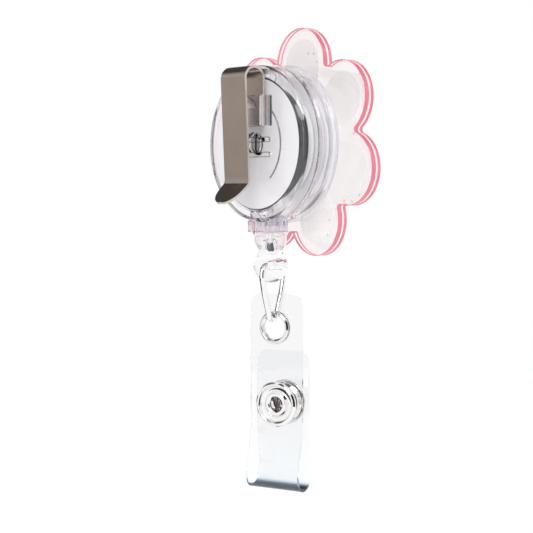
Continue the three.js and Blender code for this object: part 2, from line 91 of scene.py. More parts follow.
# ---- sizes that the frame's boxes don't give, in millimetres ----
WALL = 1.2
PARTING_DEPTH = 4.5
FLANGE_DEPTH = 7.6
CASE_DEPTH = 9.0
CORD_R = 0.45
WOUND_LENGTH = 632
WIRE_R = 0.62
LOOP_TURN = math.radians(23)
LOOP_SHIFT = 1.05
LOOP_HALF_WIDTH = 4.7
STRAP_TURN = math.radians(21)
STRAP_SHIFT = Vector((-0.7, -1.3, 0))
STRAP_WIDTH = 12.2
SHEET = 0.5
LAYER_GAP = 2.9
EYELET_X = 0.4
EYELET_HOLE_R = 2.45
EYELET_R = 3.45
SNAP_X = -0.35
SNAP_HOLE_R = 1.45
HINGE_Z = -63.0
CLIP_SHEET = 0.5
CLIP_BEND_R = 2.3
PETALS = 7
PETAL_TURN = math.radians(4.6)
PETAL_R = 7.5
PETAL_CENTRE_R = 16.45
NOTCH_R = 0.7
INLAY_INSET = 2.2
SLOT_ROWS = (0.8, -2.2)
SLOT_REACH = 5.0
SLOT_R = 0.35
SLOT_RIM_R = 0.55
SLOT_RIM_HOLE_R = 0.38
CORD_HOLE_R = 1.9

ON_STRAP = (
    Matrix.Translation((0, CORD_Y, 0))
    @ Matrix.Rotation(STRAP_TURN, 4, "Z")
    @ Matrix.Translation(STRAP_SHIFT)
)
ON_CORD = Matrix.Translation((0, CORD_Y, 0))


# ---- camera ----
def make_camera():
    data = bpy.data.cameras.new("camera")
    data.lens = 94.56
    data.sensor_width = 36
    data.clip_start = 0.01
    data.clip_end = 20
    camera = bpy.data.objects.new("camera", data)
    bpy.context.scene.collection.objects.link(camera)
    camera.location = Vector((-222.3, 174.5, -7.33)) * MM
    heading = math.radians(-39.0)
    pitch = math.radians(-3.53)
    forward = Vector(
        (math.cos(heading) * math.cos(pitch), math.sin(heading) * math.cos(pitch), math.sin(pitch))
    )
    camera.rotation_euler = forward.to_track_quat("-Z", "Y").to_euler()
    bpy.context.scene.camera = camera


# ---- materials ----
class Nodes:
    """Short calls for a material's nodes."""

    def __init__(self, name):
        self.material = bpy.data.materials.new(name)
        self.material.use_nodes = True
        self.tree = self.material.node_tree
        self.shader = self.tree.nodes["Principled BSDF"]

    def add(self, kind, **values):
        node = self.tree.nodes.new(kind)
        for key, value in values.items():
            if hasattr(node, key):
                setattr(node, key, value)
            else:
                node.inputs[key.replace("_", " ")].default_value = value
        return node

    def join(self, output, target):
        self.tree.links.new(output, target)

    def set(self, **values):
        for key, value in values.items():
            self.shader.inputs[key.replace("_", " ")].default_value = value

    def place(self, scale=(1, 1, 1)):
        coordinates = self.add("ShaderNodeTexCoord")
        mapping = self.add("ShaderNodeMapping")
        mapping.inputs["Scale"].default_value = scale
        self.join(coordinates.outputs["Object"], mapping.inputs["Vector"])
        return mapping.outputs["Vector"]

    def noise(self, scale, detail=3.0, stretch=(1, 1, 1)):
        noise = self.add("ShaderNodeTexNoise", Scale=scale, Detail=detail)
        self.join(self.place(stretch), noise.inputs["Vector"])
        return noise.outputs["Fac"]

    def ramp(self, source, stops):
        ramp = self.add("ShaderNodeValToRGB")
        elements = ramp.color_ramp.elements
        while len(elements) < len(stops):
            elements.new(0.5)
        for element, (position, colour) in zip(elements, stops):
            element.position = position
            element.color = (*colour, 1) if hasattr(colour, "__len__") else (colour, colour, colour, 1)
        self.join(source, ramp.inputs["Fac"])
        return ramp.outputs["Color"]

    def span(self, source, low_value, high_value):
        span = self.add("ShaderNodeMapRange")
        span.inputs["To Min"].default_value = low_value
        span.inputs["To Max"].default_value = high_value
        self.join(source, span.inputs["Value"])
        return span.outputs["Result"]

    def bump(self, source, strength, distance):
        bump = self.add("ShaderNodeBump", Strength=strength, Distance=distance)
        self.join(source, bump.inputs["Height"])
        self.join(bump.outputs["Normal"], self.shader.inputs["Normal"])


def clear_plastic(name, colour, roughness, ior, flow, coat=0.0):
    """Moulded clear plastic: faint flow waves, a little haze in places."""
    n = Nodes(name)
    n.set(Base_Color=(*colour, 1), Transmission_Weight=1.0, IOR=ior, Coat_Weight=coat)
    n.join(n.span(n.noise(180, 2), roughness, roughness * 2.5), n.shader.inputs["Roughness"])
    n.bump(n.noise(90, 2, (1, 0.3, 1)), flow, 0.0002)
    return n.material


def chrome_metal(name, colour, roughness):
    """Bright nickel plate with faint wipe marks."""
    n = Nodes(name)
    n.set(Base_Color=(*colour, 1), Metallic=1.0)
    wipes = n.noise(700, 4, (1, 1, 0.3))
    n.join(n.span(wipes, roughness * 0.6, roughness * 1.6), n.shader.inputs["Roughness"])
    n.bump(n.noise(900, 2), 0.012, 0.00005)
    return n.material


def satin_steel():
    """Brushed spring steel: fine lines along the clip, warm grey, a few darker rubs."""
    n = Nodes("satin_steel")
    n.set(Metallic=1.0)
    lines = n.noise(2600, 3, (3, 3, 0.05))
    greys = [(0.3, (0.58, 0.52, 0.475)), (0.7, (0.64, 0.58, 0.535))]
    n.join(n.ramp(n.noise(120, 3), greys), n.shader.inputs["Base Color"])
    n.join(n.span(lines, 0.2, 0.27), n.shader.inputs["Roughness"])
    n.bump(lines, 0.03, 0.00002)
    return n.material


def white_plastic(name, colour, roughness, grain):
    """Opaque plastic, a little warmer in places, with a fine grain."""
    n = Nodes(name)
    warm = tuple(c * 0.975 for c in colour)
    n.join(n.ramp(n.noise(260, 3), [(0.35, warm), (0.65, colour)]), n.shader.inputs["Base Color"])
    n.join(n.span(n.noise(500, 3), roughness * 0.8, roughness * 1.3), n.shader.inputs["Roughness"])
    n.bump(n.noise(1500, 2), grain, 0.00004)
    return n.material


def glitter_acrylic():
    """Clear acrylic sheet with a faint pink tint and tiny scattered specks."""
    n = Nodes("glitter_acrylic")
    n.set(Transmission_Weight=1.0, IOR=1.49, Roughness=0.03)
    cells = n.add("ShaderNodeTexVoronoi", Scale=600.0, Randomness=1.0)
    n.join(n.place(), cells.inputs["Vector"])
    near = n.add("ShaderNodeMath", operation="LESS_THAN")
    near.inputs[1].default_value = 0.2
    n.join(cells.outputs["Distance"], near.inputs[0])
    split = n.add("ShaderNodeSeparateColor")
    n.join(cells.outputs["Color"], split.inputs["Color"])
    rare = n.add("ShaderNodeMath", operation="GREATER_THAN")
    rare.inputs[1].default_value = 0.93
    n.join(split.outputs["Red"], rare.inputs[0])
    speck = n.add("ShaderNodeMath", operation="MULTIPLY")
    n.join(near.outputs[0], speck.inputs[0])
    n.join(rare.outputs[0], speck.inputs[1])
    tint = n.ramp(n.noise(60, 2), [(0.3, (0.985, 0.95, 0.955)), (0.7, (0.995, 0.975, 0.975))])
    mix = n.add("ShaderNodeMix", data_type="RGBA")
    n.join(speck.outputs[0], mix.inputs["Factor"])
    n.join(tint, mix.inputs["A"])
    mix.inputs["B"].default_value = (0.95, 0.45, 0.42, 1)
    n.join(mix.outputs["Result"], n.shader.inputs["Base Color"])
    return n.material


def pink_edge():
    """The sheet's cut edge, where the tint shows at full strength, with fine saw lines."""
    n = Nodes("pink_edge")
    n.set(Transmission_Weight=0.2, IOR=1.49)
    n.join(
        n.ramp(n.noise(400, 3, (1, 6, 1)), [(0.3, (0.96, 0.2, 0.29)), (0.7, (1.0, 0.34, 0.42))]),
        n.shader.inputs["Base Color"],
    )
    n.join(n.span(n.noise(800, 2, (0.2, 4, 0.2)), 0.12, 0.3), n.shader.inputs["Roughness"])
    return n.material


def clear_vinyl_fold_shade():
    """Soft clear sheet with a cool tint; painted shade darkens it to navy, then near black, at the bottom of
    the fold.
    """
    n = Nodes("clear_vinyl_fold_shade")
    n.set(Transmission_Weight=1.0, IOR=1.22, Coat_Weight=1.0)
    height = n.add("ShaderNodeAttribute", attribute_name="above_fold")
    # Painted shade: up to about 1.4 mm above the fold the stops go near black, then navy, before the sheet's
    # own tint.
    stops = [(0.0, (0.0, 0.004, 0.01)), (0.055, (0.006, 0.02, 0.045)), (0.075, (0.35, 0.47, 0.58))]
    stops += [(0.1, (0.93, 0.955, 0.975)), (0.5, (0.935, 0.95, 0.96)), (1.0, (0.925, 0.928, 0.936))]
    n.join(n.ramp(height.outputs["Fac"], stops), n.shader.inputs["Base Color"])
    n.join(n.span(n.noise(180, 2), 0.03, 0.08), n.shader.inputs["Roughness"])
    n.bump(n.noise(60, 2, (1, 1, 0.4)), 0.12, 0.0002)
    return n.material


def braided_cord():
    """White cord with a slanting weave."""
    n = Nodes("braided_cord")
    n.set(Roughness=0.75)
    weave = n.add("ShaderNodeTexWave", Scale=900.0, Distortion=1.5)
    weave.bands_direction = "DIAGONAL"
    n.join(n.place(), weave.inputs["Vector"])
    whites = [(0.2, (0.78, 0.78, 0.79)), (0.7, (0.93, 0.93, 0.93))]
    n.join(n.ramp(weave.outputs["Fac"], whites), n.shader.inputs["Base Color"])
    n.bump(weave.outputs["Fac"], 0.5, 0.0001)
    return n.material


CLEAR_CASE = clear_plastic("clear_case", (0.955, 0.945, 0.975), 0.02, 1.5, 0.1)
CLEAR_FRONT = clear_plastic("clear_front", (0.94, 0.93, 0.965), 0.02, 1.16, 0.1, 0.9)
CLEAR_BEAD = clear_plastic("clear_bead", (0.955, 0.95, 0.965), 0.03, 1.15, 0.15, 1.0)
CLEAR_GUIDE = clear_plastic("clear_guide", (0.84, 0.8, 0.86), 0.03, 1.5, 0.3)
CLEAR_VINYL_FOLD_SHADE = clear_vinyl_fold_shade()
CLEAR_SEAM = clear_plastic("clear_seam", (0.62, 0.58, 0.62), 0.08, 1.3, 0.2, 1.0)
RAISED_LINE = clear_plastic("raised_line", (0.36, 0.33, 0.34), 0.08, 1.3, 0.2, 1.0)
CHROME = chrome_metal("chrome", (0.9, 0.895, 0.895), 0.04)
EYELET_CHROME = chrome_metal("eyelet_chrome", (0.8, 0.79, 0.785), 0.13)
SNAP_CORE = chrome_metal("snap_core", (0.82, 0.68, 0.6), 0.1)
# Near-black metal for the disc's rim: painted shade standing in for the dark band seen round the disc.
RIM_PAINTED_SHADE = chrome_metal("disc_rim_painted_shade", (0.045, 0.045, 0.05), 0.07)
POST_STEEL = chrome_metal("post_steel", (0.5, 0.5, 0.52), 0.12)
SPRING_STEEL = chrome_metal("spring_steel", (0.34, 0.35, 0.37), 0.3)
STEEL = satin_steel()
DISC_WHITE = white_plastic("disc_white", (0.93, 0.93, 0.935), 0.14, 0.02)
SPOOL_WHITE = white_plastic("spool_white", (0.92, 0.92, 0.93), 0.35, 0.1)
PETAL_WHITE = white_plastic("petal_white", (0.95, 0.93, 0.925), 0.4, 0.1)
FOAM = white_plastic("foam", (0.94, 0.93, 0.93), 0.85, 0.8)
YELLOW = white_plastic("centre_yellow", (0.93, 0.7, 0.18), 0.25, 0.05)
KNOT = white_plastic("knot_dark", (0.035, 0.05, 0.09), 0.5, 0.8)
ACRYLIC = glitter_acrylic()
PINK_EDGE = pink_edge()
CORD = braided_cord()
# Light passes through these on its way to the matt pieces, so they cast no shadow on them.
SEE_THROUGH = (
    CLEAR_CASE, CLEAR_FRONT, CLEAR_SEAM, RAISED_LINE, CLEAR_BEAD, CLEAR_GUIDE, CLEAR_VINYL_FOLD_SHADE, ACRYLIC,
)


# ---- meshes ----
def make(name, bm, materials, body, nodes, place=None, sharp=35):
    """Turns a bmesh drawn in millimetres into a piece that rides on a body."""
    bmesh.ops.remove_doubles(bm, verts=bm.verts, dist=1e-4)
    bmesh.ops.recalc_face_normals(bm, faces=bm.faces)
    limit = math.radians(sharp)
    for edge in bm.edges:
        edge.smooth = len(edge.link_faces) == 2 and edge.calc_face_angle(0) < limit
    for face in bm.faces:
        face.smooth = True
    mesh = bpy.data.meshes.new(name)
    bm.to_mesh(mesh)
    bm.free()
    mesh.transform(Matrix.Scale(MM, 4) @ (place or Matrix.Identity(4)))
    for material in materials if isinstance(materials, list) else [materials]:
        mesh.materials.append(material)
    piece = bpy.data.objects.new(name, mesh)
    bpy.context.scene.collection.objects.link(piece)
    if body:
        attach(piece, body)
    if nodes:
        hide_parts(*nodes)
    if piece.data.materials[0] in SEE_THROUGH:
        piece.visible_shadow = False
        piece.visible_diffuse = False
    return piece


def fillet(points, radius, steps=4):
    """The outline with each corner rounded by an arc, as far as its sides allow."""
    rounded = []
    count = len(points)
    for i in range(count):
        before, corner, after = (Vector(points[(i + k) % count]) for k in (-1, 0, 1))
        to_before, to_after = before - corner, after - corner
        if corner.x == 0 or to_before.length < 1e-6 or to_after.length < 1e-6:
            rounded.append(corner)
            continue
        angle = to_before.angle(to_after)
        if angle > math.radians(165):
            rounded.append(corner)
            continue
        reach = min(radius / math.tan(angle / 2), to_before.length * 0.48, to_after.length * 0.48)
        start = corner + to_before.normalized() * reach
        end = corner + to_after.normalized() * reach
        for step in range(steps + 1):
            t = step / steps
            rounded.append(start * (1 - t) ** 2 + corner * 2 * t * (1 - t) + end * t**2)
    return rounded


def lathe(profile, sides=96):
    """Turned solid about Y from a closed outline of (radius, y). Points on the axis share one vertex."""
    bm = bmesh.new()
    rings = []
    for radius, y in profile:
        if abs(radius) < 1e-6:
            vertex = bm.verts.new((0, y, 0))
            rings.append([vertex] * sides)
        else:
            rings.append([
                bm.verts.new((radius * math.cos(TURN * k / sides), y, radius * math.sin(TURN * k / sides)))
                for k in range(sides)
            ])
    for ring, following in zip(rings, rings[1:] + rings[:1]):
        for k in range(sides):
            corners = [ring[k], ring[(k + 1) % sides], following[(k + 1) % sides], following[k]]
            unique = [c for i, c in enumerate(corners) if c not in corners[:i]]
            if len(unique) > 2:
                bm.faces.new(unique)
    return bm


def reel_lathe(profile, radius=0.15, sides=128):
    """Turned about the reel's axis; the outline is (radius, depth from the case's back)."""
    return lathe(fillet([(r, BACK_Y - depth) for r, depth in profile], radius), sides)


def tube(points, radius, sides=16, closed=False):
    """A round tube along points, its section carried along without twisting."""
    bm = bmesh.new()
    count = len(points)
    points = [Vector(p) for p in points]
    rings = []
    side = None
    for i, point in enumerate(points):
        before = points[i - 1] if i or closed else points[0]
        after = points[(i + 1) % count] if i + 1 < count or closed else points[-1]
        along = (after - before).normalized()
        if side is None:
            side = along.orthogonal().normalized()
        side = (side - along * side.dot(along)).normalized()
        up = along.cross(side)
        angles = [TURN * k / sides for k in range(sides)]
        rings.append([
            bm.verts.new(point + (side * math.cos(angle) + up * math.sin(angle)) * radius)
            for angle in angles
        ])
    pairs = list(zip(rings, rings[1:] + rings[:1])) if closed else list(zip(rings, rings[1:]))
    for ring, following in pairs:
        for k in range(sides):
            bm.faces.new([ring[k], ring[(k + 1) % sides], following[(k + 1) % sides], following[k]])
    if not closed:
        bm.faces.new(rings[0][::-1])
        bm.faces.new(rings[-1])
    return bm


def smooth_path(points, steps):
    """A smooth curve through the points, with even steps between each two."""
    points = [Vector(p) for p in points]
    ends = [points[0] * 2 - points[1], *points, points[-1] * 2 - points[-2]]
    path = []
    for i in range(len(points) - 1):
        a, b, c, d = ends[i:i + 4]
        for step in range(steps):
            t = step / steps
            path.append(0.5 * (
                2 * b + (c - a) * t + (2 * a - 5 * b + 4 * c - d) * t**2 + (3 * b - a - 3 * c + d) * t**3
            ))
    path.append(points[-1])
    return path


def arc(x, y, radius, start, end, count):
    """Points along an arc about (x, y), both ends included."""
    return [
        Vector((x + radius * math.cos(start + (end - start) * i / count),
                y + radius * math.sin(start + (end - start) * i / count)))
        for i in range(count + 1)
    ]


def plate(outline, y_from, y_to, bevel=0.0):
    """An anticlockwise outline in X and Z pushed along Y: material 0 on its faces, 1 on its cut edge."""
    bm = bmesh.new()
    count = len(outline)
    levels = [(y_from, bevel), (y_from + math.copysign(bevel, y_to - y_from), 0.0)]
    levels += [(y_to - math.copysign(bevel, y_to - y_from), 0.0), (y_to, bevel)]
    if not bevel:
        levels = [(y_from, 0.0), (y_to, 0.0)]
    rings = []
    for y, inset in levels:
        ring = []
        for i, point in enumerate(outline):
            tangent = outline[(i + 1) % count] - outline[i - 1]
            inward = Vector((-tangent.y, tangent.x)).normalized()
            moved = point + inward * inset
            ring.append(bm.verts.new((moved.x, y, moved.y)))
        rings.append(ring)
    for ring, following in zip(rings, rings[1:]):
        for i in range(count):
            face = bm.faces.new([ring[i], ring[(i + 1) % count], following[(i + 1) % count], following[i]])
            face.material_index = 1
    for ring in (rings[0][::-1], rings[-1]):
        bm.faces.new(ring)
    return bm


def strip(line, widths, thickness, across=8):
    """A bent strip: its middle line is in Y and Z, and widths gives its half width at each point."""
    bm = bmesh.new()
    count = len(line)
    layers = []
    for side in (1, -1):
        rows = []
        for i, point in enumerate(line):
            along = (line[min(i + 1, count - 1)] - line[max(i - 1, 0)]).normalized()
            normal = Vector((-along.y, along.x)) * side * thickness / 2
            rows.append([
                bm.verts.new((widths[i] * (2 * k / across - 1), point.x + normal.x, point.y + normal.y))
                for k in range(across + 1)
            ])
        layers.append(rows)
    top, bottom = layers
    for i in range(count - 1):
        for k in range(across):
            bm.faces.new([top[i][k], top[i][k + 1], top[i + 1][k + 1], top[i + 1][k]])
            bm.faces.new([bottom[i][k], bottom[i + 1][k], bottom[i + 1][k + 1], bottom[i][k + 1]])
        for k in (0, across):
            bm.faces.new([top[i][k], top[i + 1][k], bottom[i + 1][k], bottom[i][k]])
    for i in (0, count - 1):
        for k in range(across):
            bm.faces.new([top[i][k], bottom[i][k], bottom[i][k + 1], top[i][k + 1]])
    return bm


def cut(piece, cutters):
    """Cuts the cutters, which are bmeshes in millimetres, out of a piece."""
    for bm in cutters:
        mesh = bpy.data.meshes.new("cutter")
        bmesh.ops.recalc_face_normals(bm, faces=bm.faces)
        bm.to_mesh(mesh)
        bm.free()
        mesh.transform(Matrix.Scale(MM, 4))
        tool = bpy.data.objects.new("cutter", mesh)
        bpy.context.scene.collection.objects.link(tool)
        modifier = piece.modifiers.new("cut", "BOOLEAN")
        modifier.operation = "DIFFERENCE"
        modifier.solver = "EXACT"
        modifier.object = tool
        bpy.context.view_layer.update()
        shaped = bpy.data.meshes.new_from_object(piece.evaluated_get(bpy.context.evaluated_depsgraph_get()))
        piece.modifiers.clear()
        old, piece.data = piece.data, shaped
        shaped.name = old.name
        bpy.data.meshes.remove(old)
        bpy.data.objects.remove(tool)
        bpy.data.meshes.remove(mesh)
    sharpen(piece)


def sharpen(piece, limit=35):
    """Shades the piece smooth, except across edges steeper than the limit in degrees."""
    bm = bmesh.new()
    bm.from_mesh(piece.data)
    for edge in bm.edges:
        edge.smooth = len(edge.link_faces) == 2 and edge.calc_face_angle(0) < math.radians(limit)
    for face in bm.faces:
        face.smooth = True
    bm.to_mesh(piece.data)
    bm.free()


def soften(piece, width, segments=2, limit=40):
    """Rounds the piece's sharp edges."""
    bevel = piece.modifiers.new("soft edges", "BEVEL")
    bevel.width = width * MM
    bevel.segments = segments
    bevel.limit_method = "ANGLE"
    bevel.angle_limit = math.radians(limit)
    bevel.harden_normals = False


def block(x0, x1, y0, y1, z0, z1):
    """A box between the given coordinates."""
    bm = bmesh.new()
    bmesh.ops.create_cube(bm, size=1)
    for v in bm.verts:
        v.co = Vector((
            x0 if v.co.x < 0 else x1,
            y0 if v.co.y < 0 else y1,
            z0 if v.co.z < 0 else z1,
        ))
    return bm


def rod(radius, start, end, sides=48):
    """A round bar, mostly for cutting holes."""
    return tube([start, end], radius, sides)


# ---- case ----
def tint_seam(shell):
    """The welded edge where the two halves meet shows as a darker line."""
    shell.data.materials.append(CLEAR_SEAM)
    for polygon in shell.data.polygons:
        depth = BACK_Y - polygon.center.y / MM
        if PARTING_DEPTH - 0.45 < depth < PARTING_DEPTH + 0.35 and abs(polygon.normal.y) > 0.4:
            polygon.material_index = 1


def slot_outline(z, radius):
    """A level slot with round ends, in the case's back."""
    right = arc(SLOT_REACH, z, radius, -TURN / 4, TURN / 4, 8)
    left = arc(-SLOT_REACH, z, radius, TURN / 4, 3 * TURN / 4, 8)
    return right + left


def build_case():
    inside = CASE_R - WALL
    shoulder = [(CASE_R - 2.4 + 2.4 * p.x, 1.5 - 1.5 * p.y) for p in arc(0, 0, 1, TURN / 4, 0, 12)]
    outline = [(2.3, 0), *shoulder, (CASE_R, PARTING_DEPTH - 0.5), (CASE_R - 0.3, PARTING_DEPTH - 0.2)]
    outline += [(inside, PARTING_DEPTH - 0.2), (inside, 2.0), (inside - 1.0, 1.0), (2.3, 1.0)]
    back = make("case_back", reel_lathe(outline, 0.12), CLEAR_CASE, "case",
                ["back_shell"], sharp=50)
    tint_seam(back)
    cord_hole = rod(CORD_HOLE_R, (0, CORD_Y, -CASE_R - 3), (0, CORD_Y, -CASE_R + 3))
    slots = [plate(slot_outline(z, SLOT_R), BACK_Y - 2, BACK_Y + 2) for z in SLOT_ROWS]
    cut(back, [cord_hole, *slots])
    for index, z in enumerate(SLOT_ROWS):
        lip = plate(slot_outline(z, SLOT_RIM_R), BACK_Y - 0.02, BACK_Y + 0.16)
        rim = make(f"slot_rim_{index + 1}", lip, RAISED_LINE, "case", [])
        cut(rim, [plate(slot_outline(z, SLOT_RIM_HOLE_R), BACK_Y - 1, BACK_Y + 1)])

    front = [(0, CASE_DEPTH - 1.1), (inside - 0.6, CASE_DEPTH - 1.1), (inside, CASE_DEPTH - 1.7)]
    front += [(inside, PARTING_DEPTH + 0.1), (CASE_R - 0.3, PARTING_DEPTH + 0.1)]
    front += [(CASE_R, PARTING_DEPTH + 0.4), (CASE_R, FLANGE_DEPTH)]
    front += [(FLANGE_R, FLANGE_DEPTH + 0.3), (FLANGE_R, CASE_DEPTH - 0.3)]
    front += [(FLANGE_R - 0.3, CASE_DEPTH), (13, CASE_DEPTH), (12.6, CASE_DEPTH + 0.7), (0, CASE_DEPTH + 0.7)]
    shell = make("case_front", reel_lathe(front, 0.12), CLEAR_FRONT, "case",
                 ["front_shell"], sharp=50)
    tint_seam(shell)
    cut(shell, [rod(CORD_HOLE_R, (0, CORD_Y, -CASE_R - 3), (0, CORD_Y, -CASE_R + 3))])

    for index, middle in enumerate((0, math.pi)):
        outline = arc(0, 0, 9.0, middle - 0.9, middle + 0.9, 40)
        outline += arc(0, 0, 8.7, middle + 0.9, middle - 0.9, 40)
        raised = plate(outline, BACK_Y - 0.02, BACK_Y + 0.24)
        ridge = make(f"back_arc_{index + 1}", raised, RAISED_LINE, "case", [])
        soften(ridge, 0.08)

    arch = block(-6.2, 6.2, BACK_Y - 0.01, BACK_Y + 2.2, 3.4, 9.6)
    bridge = make("clip_bridge", arch, CLEAR_CASE, "case", [])
    cut(bridge, [block(-4.2, 4.2, BACK_Y - 1, BACK_Y + 1.2, 2, 11)])
    soften(bridge, 0.25, 3)


def build_guide():
    w, d = GUIDE_WIDTH / 2, GUIDE_DEPTH / 2
    bm = block(-w, w, GUIDE_Y - d, GUIDE_Y + d, GUIDE_BOTTOM_Z, -14.5)
    piece = make("guide_block", bm, CLEAR_GUIDE, "case", ["cord_guide"])
    grooves = []
    for side in (-1, 1):
        face = GUIDE_Y + side * d
        for x in (-1.9, 0, 1.9):
            grooves.append(block(x - 0.4, x + 0.4, face - 0.35, face + 0.35, -22, -10))
        edge = side * w
        grooves.append(block(edge - 0.35, edge + 0.35, GUIDE_Y - 0.7, GUIDE_Y + 0.7, -22, -10))
    drum = rod(CASE_R + 0.12, (0, -20, 0), (0, 10, 0), 160)
    bore = rod(CORD_R + 0.3, (0, CORD_Y, -22), (0, CORD_Y, -10))
    cut(piece, [*grooves, drum, bore])
    soften(piece, 0.12, 2)
    make("guide_neck", lathe(fillet([(0.75, 0), (1.5, 0), (1.5, 1.7), (0.75, 1.7)], 0.1), 48),
         CLEAR_GUIDE, "case", [],
         Matrix.Translation((0, CORD_Y, -16.6)) @ Matrix.Rotation(math.pi / 2, 4, "X"))


# ---- inside the case ----
def build_inside():
    disc = [(2.3, 1.8), (2.3, 1.3), (DISC_R - 0.3, 1.3), (DISC_R, 1.6), (DISC_R, 2.7), (DISC_R - 0.4, 2.7)]
    disc += [(DISC_R - 0.4, 1.8)]
    cover = make("disc", reel_lathe(disc, 0.15), [DISC_WHITE, RIM_PAINTED_SHADE], "reel",
                 ["spool_cover"])
    # The disc's outermost faces take the near-black rim metal: painted shade for the dark band round the
    # disc.
    for polygon in cover.data.polygons:
        centre = polygon.center / MM
        if math.hypot(centre.x, centre.z) > DISC_R - 0.35:
            polygon.material_index = 1

    spool_front = 7.0
    body = [(2.1, spool_front - 0.8), (2.1, 3.5), (2.9, 3.5), (2.9, spool_front - 0.8)]
    body += [(7.2, spool_front - 0.8), (7.2, 2.0), (8.0, 2.0), (8.0, spool_front - 0.8)]
    body += [(DISC_R, spool_front - 0.8), (DISC_R, spool_front), (2.1, spool_front)]
    make("spool_drum", reel_lathe(body, 0.1), SPOOL_WHITE, "reel", ["spool"])

    foot = CASE_DEPTH - 1.15
    post = [(0, 0.75), (1.4, 0.75), (1.7, 1.05), (1.7, foot - 0.8), (3.2, foot - 0.8), (3.2, foot), (0, foot)]
    pin = make("axle_pin", reel_lathe(post, 0.1, 64), POST_STEEL, "case", ["axle_post"])
    cut(pin, [block(-0.25, 0.25, BACK_Y - 2.5, BACK_Y + 2, -4, 4)])

    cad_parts["power_spring"].data.materials.clear()
    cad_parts["power_spring"].data.materials.append(SPRING_STEEL)


def build_winding():
    """The wound part of a 0.65 m cord: three turns side by side in a layer, the fourth layer part full."""
    rows, layers, pitch = 3, 4, 2 * CORD_R + 0.02
    points = []
    for layer in range(layers):
        radius = 8.3 + CORD_R + layer * 0.8
        order = range(rows) if layer % 2 == 0 else reversed(range(rows))
        for row in order:
            depth = 3.6 + row * pitch
            step = pitch if layer % 2 == 0 else -pitch
            for k in range(48):
                share = k / 48
                angle = TURN * share
                lift = 0.8 * max(0, share - 0.9) * 10 if row == (rows - 1 if layer % 2 == 0 else 0) else 0
                shift = step * max(0, share - 0.85) / 0.15 if not lift else 0
                r = radius + (lift if layer < layers - 1 else 0)
                y = BACK_Y - depth - (shift if abs(shift) < pitch else 0)
                points.append((r * math.cos(angle), y, r * math.sin(angle)))
    wound, count = 0, 1
    while wound < WOUND_LENGTH and count < len(points):
        wound += (Vector(points[count]) - Vector(points[count - 1])).length
        count += 1
    make("wound_cord", tube(points[:count], CORD_R, 8), CORD, "reel",
         ["cord_winding"], sharp=80)


# ---- cord end ----
def build_cord_end():
    route = [(-6.1, 0, -10.9), (-3, 0, -12.5), (-0.7, 0, -13.6)]
    route += [(0, 0, -14.4), (0, 0, -15.5), (0, 0, -17.5), (0, 0, -20.2)]
    lead = make("cord_run", tube(smooth_path(route, 8), CORD_R, 12), CORD, None,
                ["cord_lead"], ON_CORD, sharp=80)
    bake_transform(lead)

    turns = []
    for k in range(72):
        t = TURN * k / 72
        turns.append((
            0.17 * (math.sin(t) + 2 * math.sin(2 * t)),
            0.17 * (math.cos(t) - 2 * math.cos(2 * t)),
            -21.0 - 0.66 * math.sin(3 * t),
        ))
    make("knot", tube(turns, 0.32, 12, closed=True), KNOT, "cord_end",
         ["cord_knot"], ON_CORD, sharp=80)


def build_bead():
    ball = [(BALL_R * math.cos(a), BALL_Z + BALL_R * math.sin(a)) for a in
            [-TURN / 4 + 2.3 * i / 26 for i in range(1, 27)]]
    cavity = -22.6
    outline = [(0, BALL_Z - BALL_R), *ball, (2.55, -21.5), (2.9, -20.9), (3.3, -20.2)]
    outline += [(3.35, -18.6), (3.2, BEAD_TOP_Z), (0.75, BEAD_TOP_Z), (0.75, -19.2)]
    outline += [(1.5, -19.7), (1.5, cavity), (0, cavity)]
    standing = ON_CORD @ Matrix.Rotation(math.pi / 2, 4, "X")
    bead = make("bead", lathe(fillet(outline, 0.2), 96), CLEAR_BEAD, "bead",
                ["end_bead"], standing, sharp=50)
    across = Vector((-math.sin(LOOP_TURN), math.cos(LOOP_TURN), 0)) * 7
    centre = Vector((0, CORD_Y, BALL_Z))
    cutters = [rod(WIRE_R + 0.38, centre - across, centre + across)]
    for side in (-1, 1):
        flat = block(-3, 3, BALL_FLAT, BALL_FLAT + 2, BALL_Z - 5.6, BALL_Z + 2.8)
        turn = Matrix.Rotation(LOOP_TURN + (math.pi if side < 0 else 0), 4, "Z")
        flat.transform(ON_CORD @ turn)
        cutters.append(flat)
    cut(bead, cutters)


def build_loop():
    w, tip = LOOP_HALF_WIDTH, LOOP_TIP_Z + WIRE_R
    side = [(0.25, BALL_Z), (2.2, BALL_Z), (3.35, BALL_Z - 0.06), (w - 0.4, BALL_Z - 0.55)]
    side += [(w - 0.02, BALL_Z - 1.5), (w, BALL_Z - 2.4), (w - 0.35, BALL_Z - 3.6)]
    side += [(w - 0.93, BALL_Z - 5.5), (w - 1.85, BALL_Z - 7.7)]
    side += [(w - 2.4, BALL_Z - 8.9), (1.7, tip + 1.1), (0.85, tip + 0.2)]
    route = [(0, y - LOOP_SHIFT, z) for y, z in side] + [(0, -LOOP_SHIFT, tip)]
    route += [(0, -y - LOOP_SHIFT, z) for y, z in reversed(side)]
    place = ON_CORD @ Matrix.Rotation(LOOP_TURN, 4, "Z")
    make("wire", tube(smooth_path(route, 8), WIRE_R, 20), CHROME, "loop",
         ["wire_loop"], place, sharp=80)


# ---- strap ----
def end_width(distance, half, radius):
    """Half width of a strip at a distance from an end with rounded corners."""
    if distance >= radius:
        return half
    return half - radius + math.sqrt(max(radius**2 - (radius - distance) ** 2, 0))


